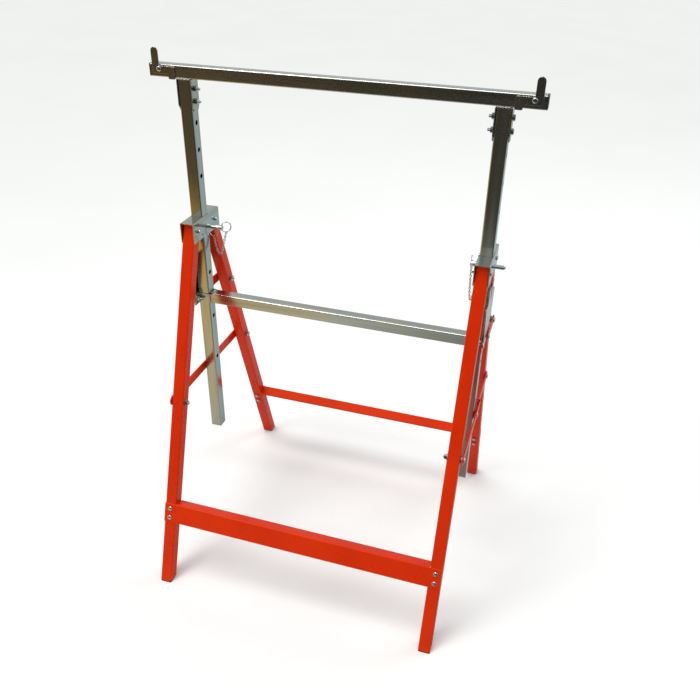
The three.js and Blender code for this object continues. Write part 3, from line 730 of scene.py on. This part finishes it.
def build_stops():
    front = STOP_FACE - STOP_SHEET
    bottom = low_mm("beam_stop_right", 2)
    tab_outline = rounded_box(front + 0.4, STOP_FACE + 10, bottom, bottom + 2, 0.8)
    seat, tail_end, tail_start = front - GAP, -8, -9.1
    for side, sign in SIDES.items():
        x = sign * STOP_X
        plate = solid_prism("y", stop_outline(sign), front, STOP_FACE)
        tab = solid_prism("x", tab_outline, sign * 299.6, sign * 307.4)
        hole = [rod("y", x, STOP_Z, STOP_HOLE, STOP_FACE - 3, STOP_FACE + 1)]
        metal_piece(f"beam_stop_{side}", merge(plate, tab), f"stop_{side}", "zinc_z", cuts=hole, bevel=0.35)
        head = moved(dome_head("stop"), pointing((0, -1, 0), (x, seat, STOP_Z)))
        shank = rod("y", x, STOP_Z, 2, seat - 0.2, tail_end)
        tail = rod("y", x, STOP_Z, 3.2, tail_start, tail_end)
        turned_piece(f"beam_stop_rivet_{side}", merge(head, shank, tail), "beam_lift")


def build_saddles():
    top, bottom = high_mm("beam_saddle_left", 2), low_mm("beam_saddle_left", 2)
    depth = high_mm("beam_saddle_left", 1)
    seat = BRACKET_INSIDE + SADDLE_SHEET + GAP
    for side, sign in SIDES.items():
        outline = channel_outline(sign * FRAME_X, BRACKET_INSIDE, SADDLE_SHEET, bottom, top)
        channel = solid_prism("y", outline, -depth, depth)
        slants = [slab(side, [(out * (depth - 6), bottom - 1), (out * (depth + 1), bottom - 1),
                              (out * (depth + 1), bottom + 12)], -CUT, CUT) for out in (-1, 1)]
        holes = [across(side, 0, z, BOLT_HOLE) for z in SADDLE_BOLTS.values()]
        metal_piece(f"beam_saddle_{side}", channel, "beam_lift", "zinc_z", cuts=slants + holes)
        for out in (-1, 1):
            seam = [Vector((sign * FRAME_X + along, out * (BAR / 2 + 0.1), top + 0.2))
                    for along in (-11, -8.5, -6, -3.5, -1, 1.5, 4, 6.5, 9, 11)]
            small_piece(f"saddle_weld_{side}_{out}", weld_bead(seam), "beam_lift", "weld")
        for level, z in SADDLE_BOLTS.items():
            head = moved(hex_body(NUT_FLATS, 4), outward(side, 0, z, seat))
            bolt = merge(head, bolt_rod(side, 0, z, seat + SUNK, seat + 24.6))
            turned_piece(f"saddle_bolt_{level}_{side}", bolt, "beam_lift")
            small_piece(f"saddle_nut_{level}_{side}", bolt_nut(side, 0, z, -seat, 4.6), "beam_lift")


# ------------------------ posts and head brackets


def build_posts():
    for side, sign in SIDES.items():
        x = sign * FRAME_X
        tube = square_tube("z", x, 0, TUBE, TUBE_WALL, TUBE_CORNER, POST_LOW, POST_HIGH)
        holes = [across(side, 0, z, PIN_HOLE_RADIUS) for z in PIN_HOLES]
        holes += [across(side, 0, z, BOLT_HOLE) for z in SADDLE_BOLTS.values()]
        metal_piece(f"post_{side}", tube, "beam_lift", "zinc_z", cuts=holes, bevel=0.22)
        cap = solid_prism("z", rounded_square(x, 0, HALF, TUBE_CORNER),
                          low_mm(f"post_plug_{side}", 2), POST_LOW - GAP)
        stub = solid_prism("z", rounded_square(x, 0, TUBE_INNER, 2),
                           POST_LOW - GAP - 0.1, high_mm(f"post_plug_{side}", 2))
        metal_piece(f"post_plug_{side}", merge(cap, stub), "beam_lift", "plug", bevel=0.8)


def build_brackets():
    seat, post_y, radius = BRACKET_INSIDE + BRACKET_SHEET + GAP, HALF + 0.5, BOLT_RADIUS
    formed_tail = [(0, 0), (3.6, 0), (3.8, 0.3), (3.8, 4.2), (3.5, 4.9), (2.6, 5.2), (0, 5.2)]
    for side, sign in SIDES.items():
        outline = channel_outline(sign * FRAME_X, BRACKET_INSIDE, BRACKET_SHEET, BRACKET_BOTTOM, BRACKET_TOP)
        channel = solid_prism("y", outline, -BRACKET_HALF, BRACKET_HALF)
        cuts = [block(at(side, -BRACKET_INSIDE), at(side, BRACKET_INSIDE), -post_y, post_y,
                      BRACKET_TOP - 3, BRACKET_TOP + 1)]
        cuts += [across(side, out * PIVOT_Y, PIVOT_Z, BOLT_HOLE) for out in (-1, 1)]
        cuts.append(across(side, 0, PIN_Z, PIN_HOLE_RADIUS))
        cuts += [across(side, out * SPLIT_Y, SPLIT_HOLE_Z, SMALL_HOLE) for out in (-1, 1)]
        metal_piece(f"head_bracket_{side}", channel, "head", "zinc_y", cuts=cuts)
        for end, out in ENDS.items():
            y = out * PIVOT_Y
            head = moved(dome_head("pivot"), outward(side, y, PIVOT_Z, seat))
            shank = moved(turned([(0, 0), (radius, 0), (radius, 2 * seat + 1), (0, 2 * seat + 1)]),
                          outward(side, y, PIVOT_Z, seat + SUNK, -1))
            tail = moved(turned(formed_tail), outward(side, y, PIVOT_Z, -seat, -1))
            turned_piece(f"pivot_bolt_{end}_{side}", merge(head, shank, tail), "head")


# ------------------------ leg frames

LEVEL_BLOCK = 80


def level_block(side, end, height, depth):
    """Box round a leg, above or below a height over the floor, level once the leg is splayed."""
    half = LEVEL_BLOCK / 2
    middle = (SIDES[side] * FRAME_X, 0, (height - PIVOT_Z) / math.cos(SPLAY))
    place = Matrix.Translation(middle) @ Matrix.Rotation(-ENDS[end] * SPLAY, 4, "X")
    return moved(block(-half, half, -half, half, 0, depth), place)


def build_leg(side, end):
    x = SIDES[side] * FRAME_X
    name, body, place = f"{end}_{side}", f"{end}_frame", frame_place(end)
    tube = square_tube("z", x, 0, TUBE, TUBE_WALL, TUBE_CORNER, -FOOT_RUN - TUBE, LEG_ABOVE)
    runs = [0, BRACE_RUN] + ([LINK_RUN] if end == "rear" else [])
    cuts = [across(side, 0, -run, BOLT_HOLE) for run in runs]
    cuts += [rod("y", x, -run, RAIL_HOLE, -CUT, CUT) for run in RAIL_BOLTS]
    cuts.append(level_block(side, end, SOLE + GAP, -LEVEL_BLOCK))
    metal_piece(f"leg_{name}", tube, body, "paint", place, cuts)

    top = FOOT_STUB - FOOT_RUN
    sole = solid_prism("z", rounded_square(x, 0, HALF, TUBE_CORNER), -FOOT_RUN - TUBE, top)
    plug = as_object(sole, f"foot_plug_{name}_fine")
    combine(plug, [level_block(side, end, SOLE, LEVEL_BLOCK)], "DIFFERENCE")
    combine(plug, [solid_prism("z", rounded_square(x, 0, TUBE_INNER, 2), -FOOT_RUN - 8, top)], "UNION")
    combine(plug, [level_block(side, end, 0, -LEVEL_BLOCK)], "DIFFERENCE")
    ease_edges(plug, 0.5)
    settle(plug, body, "foot", f"foot_plug_{name}", place)


def build_rail(end):
    out = ENDS[end]
    face = RAIL_NEAR + RAIL_SHEET
    bend = RAIL_SHEET + 1.8
    web_x = FRAME_X + HALF
    profile = (
        [(RAIL_NEAR, -RAIL_BOTTOM), (face, -RAIL_BOTTOM)]
        + arc(face - bend, -RAIL_FOLD - bend, bend, 0, 90, 8)
        + [(face - RAIL_FLANGE, -RAIL_FOLD), (face - RAIL_FLANGE, -RAIL_FOLD - RAIL_SHEET)]
        + arc(face - bend, -RAIL_FOLD - bend, bend - RAIL_SHEET, 90, 0, 4)
    )
    rail = solid_prism("x", [(out * y, z) for y, z in profile], -web_x, web_x)
    cuts = [block(sign * RAIL_FLANGE_END, sign * (web_x + 1), out * (RAIL_NEAR - 0.05), -out * CUT,
                  -RAIL_FOLD - 4, -RAIL_FOLD + 1) for sign in (-1, 1)]
    cuts += [rod("y", sign * FRAME_X, -run, RAIL_HOLE, out * 5, out * CUT)
             for sign in SIDES.values() for run in RAIL_BOLTS]
    body, place = f"{end}_frame", frame_place(end)
    metal_piece(f"{end}_rail", rail, body, "paint", place, cuts)
    length = face + HALF + 5.8
    for side, sign in SIDES.items():
        for number, run in enumerate(RAIL_BOLTS, 1):
            label, x = f"{end}_{side}_{number}", sign * FRAME_X
            head = moved(dome_head("rail"), pointing((0, out, 0), (x, out * (face + 0.02), -run)))
            shank = moved(threaded_rod(RAIL_BOLT_RADIUS, RAIL_BOLT_PITCH, length),
                          pointing((0, -out, 0), (x, out * (face + GAP), -run)))
            small_piece(f"rail_bolt_{label}", merge(head, shank), body, place=place)
            nut = moved(hex_body(RAIL_NUT_FLATS, 4, RAIL_NUT_BORE),
                        pointing((0, -out, 0), (x, -out * (HALF + GAP), -run)))
            small_piece(f"rail_nut_{label}", nut, body, place=place)


def leg_bolt(side, end, run, name, seat, collar_far=None):
    """Bolt through a leg: domed head outside, washer and nut on the inner side, maybe a collar."""
    body, place, inside = f"{end}_frame", frame_place(end), HALF + GAP
    head = moved(dome_head("leg"), outward(side, 0, -run, seat))
    shank = bolt_rod(side, 0, -run, seat + SUNK, seat + inside + 8.4)
    turned_piece(name, merge(head, shank), body, place)
    ring = moved(washer_body(1.1), outward(side, 0, -run, -inside, -1))
    small_piece(f"{name}_washer", ring, body, "washer", place)
    small_piece(f"{name}_nut", bolt_nut(side, 0, -run, -inside - 1.15, 4.8), body, place=place)
    if collar_far:
        collar = moved(washer_body(collar_far - inside), outward(side, 0, -run, inside))
        small_piece(f"{name}_collar", collar, body, "washer", place)


def build_frames():
    for end in ENDS:
        build_rail(end)
        for side in SIDES:
            build_leg(side, end)
            near, far = BRACE_PLANES[end]
            collar = near - GAP if end == "front" else None
            leg_bolt(side, end, BRACE_RUN, f"brace_bolt_{end}_{side}", far + GAP, collar)
    for side in SIDES:
        leg_bolt(side, "rear", LINK_RUN, f"link_bolt_{side}", LINK_FAR + GAP, LINK_NEAR - GAP)


# ------------------------ middle bar


def ear_outline(sign, out):
    """Plan of one fork wall: it leaves the bar's side, steps out past the post and turns to a flange."""
    inner, near = BAR / 2 - EAR_SHEET, EAR_INNER
    far, tip, flange = near + EAR_SHEET, FRAME_X + HALF, high_mm("middle_bar", 1)
    path = [(MIDBAR_JOGGLE - 1, inner + 0.2), (MIDBAR_JOGGLE, inner), (MIDBAR_WALL_END, near)]
    path += [(tip, near), (tip, flange), (tip - EAR_SHEET, flange), (tip - EAR_SHEET, far)]
    path += [(MIDBAR_WALL_END - 1, far), (MIDBAR_JOGGLE, BAR / 2), (MIDBAR_JOGGLE - 1, BAR / 2 - 0.2)]
    return [(sign * x, out * y) for x, y in path]


def cheek_outline(foot, top):
    """Side view of a cheek: it widens up to its shoulders and ends in two prongs beside a slot."""
    corner, shoulder, prong, slot = CHEEK_CORNER, CHEEK_SHOULDER, CHEEK_PRONG, CHEEK_SLOT
    return (
        [(-GUIDE_HALF, foot), (GUIDE_HALF, foot), CHEEK_BEND]
        + arc(CHEEK_REAR - corner, shoulder - corner, corner, 0, 90, 8)
        + [(prong, shoulder)]
        + arc(prong - corner, top - corner, corner, 0, 90, 8)
        + [(slot, top), (slot, shoulder), (-slot, shoulder), (-slot, top)]
        + arc(corner - prong, top - corner, corner, 90, 180, 8)
        + [(-prong, shoulder)]
        + arc(corner - CHEEK_FRONT, shoulder - corner, corner, 90, 180, 8)
    )


def build_guide_plate(side):
    """Plate outside the post, a step at its top and the cheek on the step."""
    name = f"guide_plate_{side}"
    low, high = low_mm(name, 2), high_mm(name, 2)
    foot = GUIDE_TOP - (CHEEK_FAR - CHEEK_NEAR)
    lower = rounded_box(-GUIDE_HALF, GUIDE_HALF, low, GUIDE_TOP - 1, 1.5)
    plate = as_object(slab(side, lower, GUIDE_NEAR, GUIDE_FAR), f"{name}_fine")
    inset = 0.03  # keeps the step's faces out of the plate's and the cheek's planes
    wide = GUIDE_HALF - inset
    step = block(at(side, GUIDE_NEAR + inset), at(side, CHEEK_FAR - inset), -wide, wide,
                 foot + inset, GUIDE_TOP - inset)
    combine(plate, [step], "UNION")
    combine(plate, [slab(side, cheek_outline(foot, high), CHEEK_NEAR, CHEEK_FAR)], "UNION")
    combine(plate, [across(side, y, MIDBAR_Z, BOLT_HOLE) for y in EAR_BOLT_Y.values()], "DIFFERENCE")
    ease_edges(plate, 0.3)
    settle(plate, "middle_guide", "zinc_z", name)


def build_middle_bar():
    tube = square_tube("x", 0, MIDBAR_Z, BAR, BAR_WALL, BAR_CORNER, -MIDBAR_WALL_END, MIDBAR_WALL_END)
    bar = as_object(tube, "middle_bar_fine")
    half = BAR / 2
    ends = [(sign, out) for sign in (-1, 1) for out in (-1, 1)]
    combine(bar, [block(sign * MIDBAR_JOGGLE, sign * (MIDBAR_WALL_END + 5), out * (half - EAR_SHEET - GAP),
                        out * (half + 1), MIDBAR_Z - half - 1, MIDBAR_Z + half + 1) for sign, out in ends],
            "DIFFERENCE")
    ears = [solid_prism("z", ear_outline(sign, out), MIDBAR_Z - half + 1, MIDBAR_Z + half - 1)
            for sign, out in ends]
    combine(bar, ears, "UNION")
    holes = [across(side, y, MIDBAR_Z, BOLT_HOLE, 0, CUT) for side in SIDES for y in EAR_BOLT_Y.values()]
    combine(bar, holes, "DIFFERENCE")
    ease_edges(bar, 0.22)
    settle(bar, "middle_guide", "zinc_x", "middle_bar")
    for side in SIDES:
        build_guide_plate(side)
        for end, y in EAR_BOLT_Y.items():
            seat = GUIDE_FAR + GAP if end == "front" else LINK_NEAR - GAP
            parts = [bolt_rod(side, y, MIDBAR_Z, seat, seat + 1.6)]
            if end == "front":
                parts.append(moved(dome_head("pivot"), outward(side, y, MIDBAR_Z, seat)))
            turned_piece(f"guide_bolt_{end}_{side}", merge(*parts), "middle_guide")
            nut = bolt_nut(side, y, MIDBAR_Z, HALF - EAR_SHEET - GAP, 4.6, 9)
            small_piece(f"guide_nut_{end}_{side}", nut, "middle_guide")


# ------------------------ folding links


def link_piece(node, side, reach, radii, planes, body, place, lug=None):
    made = as_object(slab(side, link_outline(reach, *radii), *planes), f"{node}_fine")
    if lug:
        combine(made, [lug], "UNION")
    combine(made, [across(side, 0, 0, BOLT_HOLE, 10, CUT)], "DIFFERENCE")
    ease_edges(made, 0.45)
    settle(made, body, "paint", node, place)


def build_links():
    radii = (BRACE_BULB, BRACE_RADIUS)
    link_y = PIVOT_Y + LINK_RUN * math.sin(SPLAY)
    reach = EAR_BOLT_Y["rear"] - link_y
    for side in SIDES:
        place = Matrix.Translation((0, link_y * MM, MIDBAR_Z * MM))
        link_piece(f"upper_link_{side}", side, reach, (10, 10), (LINK_NEAR, LINK_FAR), f"link_{side}", place)
        rivet = moved(dome_head("pivot"), outward(side, reach, 0, LINK_FAR + 0.02))
        small_piece(f"upper_link_rivet_{side}", rivet, f"link_{side}", place=place)

        place = Matrix.Translation((0, BRACE_REACH * MM, BRACE_Z * MM))
        link_piece(f"brace_rear_{side}", side, -BRACE_REACH, radii, BRACE_PLANES["rear"],
                   f"rear_brace_{side}", place)

        near, far = BRACE_PLANES["front"]
        lug_ends = (BRACE_REACH + 24, BRACE_REACH + 38)
        base = BRACE_BULB + GAP
        upright = slab(side, rounded_box(*lug_ends, 2, base + 2, 1.0), near + 0.02, far - 0.02)
        tab = slab(side, rounded_box(*lug_ends, base, base + 2, 0.8), BRACE_PLANES["rear"][0], far - 0.05)
        place = Matrix.Translation((0, -BRACE_REACH * MM, BRACE_Z * MM))
        link_piece(f"brace_front_{side}", side, BRACE_REACH + BRACE_TAIL, radii, (near, far),
                   f"front_brace_{side}", place, merge(upright, tab))
        knee = moved(dome_head("knee"), outward(side, BRACE_REACH, 0, far + 0.02))
        small_piece(f"knee_rivet_{side}", knee, f"front_brace_{side}", place=place)


# ------------------------ locking pins, rings and chains


def ring_direction(side):
    turn = math.radians(PULL_TURN[side])
    return Vector((-SIDES[side] * math.cos(turn), math.sin(turn), 0))


def ring_centre(side):
    eye = Vector((SIDES[side] * (PIN_EYE - PIN_DRAWN[side]), 0, PIN_Z))
    return eye + ring_direction(side) * PULL_RADIUS


def build_pin(side):
    sign = SIDES[side]
    length, shoulder = PIN_TIP - PIN_END, PIN_SHOULDER - PIN_END
    profile = [(0, 0), (PIN_HEAD - 1, 0), (PIN_HEAD - 0.3, 0.3), (PIN_HEAD, 1), (PIN_HEAD, shoulder - 0.5),
               (PIN_HEAD - 0.5, shoulder), (PIN_RADIUS, shoulder), (PIN_RADIUS, length - 3),
               (PIN_RADIUS - 0.4, length - 2.2), (PIN_RADIUS - 1.6, length - 0.3),
               (PIN_RADIUS - 2.0, length), (0, length)]
    place = pointing((sign, 0, 0), (sign * (PIN_END - PIN_DRAWN[side]), 0, PIN_Z))
    pin = as_object(moved(turned(profile, 40), place), f"locking_pin_{side}_fine")
    towards = ring_direction(side) * 0.7
    eye_x = sign * (PIN_EYE - PIN_DRAWN[side]) + towards.x
    combine(pin, [rod("z", eye_x, towards.y, 2.2, PIN_Z - 7, PIN_Z + 7)], "DIFFERENCE")
    smooth_by_angle(pin, 35)
    settle(pin, f"pin_{side}", "bright", f"locking_pin_{side}")


def wire_section(middle, radial, normal, wire, sides):
    return [middle + radial * (wire * math.cos(t)) + normal * (wire * math.sin(t)) for t in full_turn(sides)]


def wire_coil(centre, across_axis, radius, wire, rise):
    """Two turns of round wire in an upright plane, spread along the coil's axis by the rise."""
    upright = Vector((0, 0, 1))
    normal = Vector(across_axis).cross(upright).normalized()
    turns, count = 2.0, 144
    rings = []
    for k in range(count + 1):
        t = 2 * math.pi * turns * k / count
        radial = Vector(across_axis) * math.cos(t) + upright * math.sin(t)
        middle = Vector(centre) + radial * radius + normal * rise * (k / count - 0.5)
        rings.append(wire_section(middle, radial, normal, wire, 10))
    return ring_mesh(rings)


def build_rings(side):
    pull = wire_coil(ring_centre(side), ring_direction(side), PULL_RADIUS, PULL_WIRE * 0.85, PULL_WIRE * 1.7)
    turned_piece(f"pull_ring_{side}", pull, f"pin_{side}")
    centre = (SIDES[side] * SPLIT_X, SPLIT_Y, SPLIT_Z)
    split = wire_coil(centre, (SIDES[side], 0, 0), SPLIT_RADIUS, SPLIT_WIRE * 0.5, SPLIT_WIRE * 1.05)
    turned_piece(f"split_ring_{side}", split, "head")


def catmull_rom(points, per_span=24):
    """A smooth route through a list of points."""
    ends = [points[0] * 2 - points[1]] + points + [points[-1] * 2 - points[-2]]
    route = []
    for a, b, c, d in zip(ends, ends[1:], ends[2:], ends[3:]):
        for i in range(per_span):
            t = i / per_span
            route.append(0.5 * (2 * b + (c - a) * t + (2 * a - 5 * b + 4 * c - d) * t * t
                                + (3 * b - a - 3 * c + d) * t ** 3))
    return route + [points[-1]]


def chain_route(side):
    sign = SIDES[side]
    start = Vector((sign * SPLIT_X, SPLIT_Y, SPLIT_Z - SPLIT_RADIUS))
    end = ring_centre(side) - Vector((0, 0, PULL_RADIUS))
    sag = [Vector((sign * x, y, z)) for x, y, z in CHAIN_SAG[side]]
    return catmull_rom([start] + sag + [end])


def chain_link(centre, along, flat, length):
    """One oval link lying along a direction, its plane holding the direction and flat."""
    normal = along.cross(flat).normalized()
    straight, bend = (length - CHAIN_WIDTH) / 2, CHAIN_WIDTH / 2 - CHAIN_WIRE
    rings = []
    for t in full_turn(28):
        radial = along * math.cos(t) + flat * math.sin(t)
        middle = centre + radial * bend + along * math.copysign(straight, math.cos(t))
        rings.append(wire_section(middle, radial, normal, CHAIN_WIRE, 8))
    return ring_mesh(rings, closed=True)


def build_chain(side):
    """Links at an even pitch along the route, each turned a quarter from the last."""
    route = chain_route(side)
    steps = [(b - a).length for a, b in zip(route, route[1:])]
    total = sum(steps)
    count = round(total / (CHAIN_LINK - 4 * CHAIN_WIRE))
    pitch = total / count
    links, walked, index = [], 0.0, 0
    flat = Vector((0, 1, 0))
    for k in range(count):
        target = (k + 0.5) * pitch
        while walked + steps[index] < target:
            walked += steps[index]
            index += 1
        along = (route[index + 1] - route[index]).normalized()
        centre = route[index] + along * (target - walked)
        flat = (flat - along * flat.dot(along)).normalized()
        roll = Matrix.Rotation(math.radians(45 + 90 * (k % 2)), 3, along)
        links.append(chain_link(centre, along, roll @ flat, pitch + 3.4 * CHAIN_WIRE))
    made = as_object(merge(*links), f"pin_chain_{side}_links")
    smooth_by_angle(made, 60)
    material, slot = LOOKS["bright"]
    made.data.materials.append(material)
    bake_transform(made)
    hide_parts(f"pin_chain_{side}")


def build_pins():
    for side in SIDES:
        build_pin(side)
        build_rings(side)
        build_chain(side)


# ------------------------ floor and light


def build_floor():
    bpy.ops.mesh.primitive_plane_add(size=80, location=(0, 10, 0))
    floor = bpy.context.object
    floor.name = "floor"
    n = Nodes("pale_floor")
    cloud = n.noise(1.4, 4)
    n.set(Base_Color=n.ramp(cloud, (0.3, (0.80, 0.80, 0.80)), (0.7, (0.82, 0.82, 0.82))), Roughness=0.85)
    n.set(Specular_IOR_Level=0.0)
    floor.data.materials.append(n.material)


def painted_reflection_material():
    """Painted reflection: a matt card for cards that only mirrored light sees, toned from left to right,
    falling to dark in front and to blue-grey at the back.
    """
    n = Nodes("painted_reflection_tones")
    split = n.add("ShaderNodeSeparateXYZ")
    n.link(n.place, split.inputs["Vector"])
    x, y = split.outputs["X"], split.outputs["Y"]
    warm, neutral, cool = (0.66, 0.43, 0.08), (0.54, 0.53, 0.46), (0.08, 0.12, 0.14)
    near = n.ramp(n.range(x, 0, 1, -1.2, 0.6), (0.1, warm), (0.5, neutral), (0.95, cool))
    far = n.ramp(n.range(x, 0, 1, -3.0, 0.4), (0, (0.13, 0.09, 0.05)), (1, (0.045, 0.045, 0.04)))
    tone = n.mix(n.range(y, 0, 1, -0.35, 0.25), near, (0.40, 0.47, 0.48))
    n.set(Base_Color=n.mix(n.range(y, 1, 0, -1.9, -1.35), tone, far), Roughness=1.0)
    n.set(Specular_IOR_Level=0.0)
    return n.material


def add_reflection_card(name, corners, material):
    """A card that only mirrored light sees, so it paints what the metal reflects: a painted reflection."""
    data = bpy.data.meshes.new(name)
    data.from_pydata(corners, [], [(0, 1, 2, 3)])
    data.materials.append(material)
    card = new_object(name, data)
    for ray in ("camera", "diffuse", "shadow", "transmission"):
        setattr(card, f"visible_{ray}", False)


LIGHTS_AIM = Vector((0, 0, 0.5))


def add_light(name, kind, place, power, colour, size):
    data = bpy.data.lights.new(name, kind)
    data.energy = power
    data.color = colour
    if kind == "SUN":
        data.angle = math.radians(size)
    else:
        data.shape = "SQUARE"
        data.size = size
    aim = (LIGHTS_AIM - Vector(place)).to_track_quat("-Z", "Y")
    new_object(name, data).matrix_world = Matrix.Translation(place) @ aim.to_matrix().to_4x4()


def build_light():
    world = bpy.data.worlds.new("studio")
    bpy.context.scene.world = world
    world.use_nodes = True
    background = world.node_tree.nodes["Background"]
    background.inputs["Color"].default_value = (0.95, 1.0, 1.0, 1)
    background.inputs["Strength"].default_value = 0.64
    add_light("daylight", "SUN", (-0.9, -0.45, 4.2), 1.5, (1.0, 0.97, 0.93), 30)
    add_light("softbox", "AREA", (-1.3, -1.5, 2.8), 22, (1.0, 0.98, 0.96), 0.9)
    add_light("rear_softbox", "AREA", (1.6, 1.6, 2.6), 16, (0.96, 0.98, 1.0), 1.0)
    # Painted reflections: cards seen only in the metal's mirrored light, toned to set its reflected colours
    # and darks.
    material = painted_reflection_material()
    add_reflection_card("floor_reflection_card", [(-6, -4.8, 0.01), (6, -4.8, 0.01), (6, 6, 0.01), (-6, 6, 0.01)], material)
    add_reflection_card("wall_reflection_card", [(-6, -4.8, 0.01), (6, -4.8, 0.01), (6, -4.8, 2.2), (-6, -4.8, 2.2)], material)


build_beam()
build_stops()
build_saddles()
build_posts()
build_brackets()
build_frames()
build_middle_bar()
build_links()
build_pins()
build_floor()
build_light()
bpy.context.scene.view_settings.view_transform = "Standard"
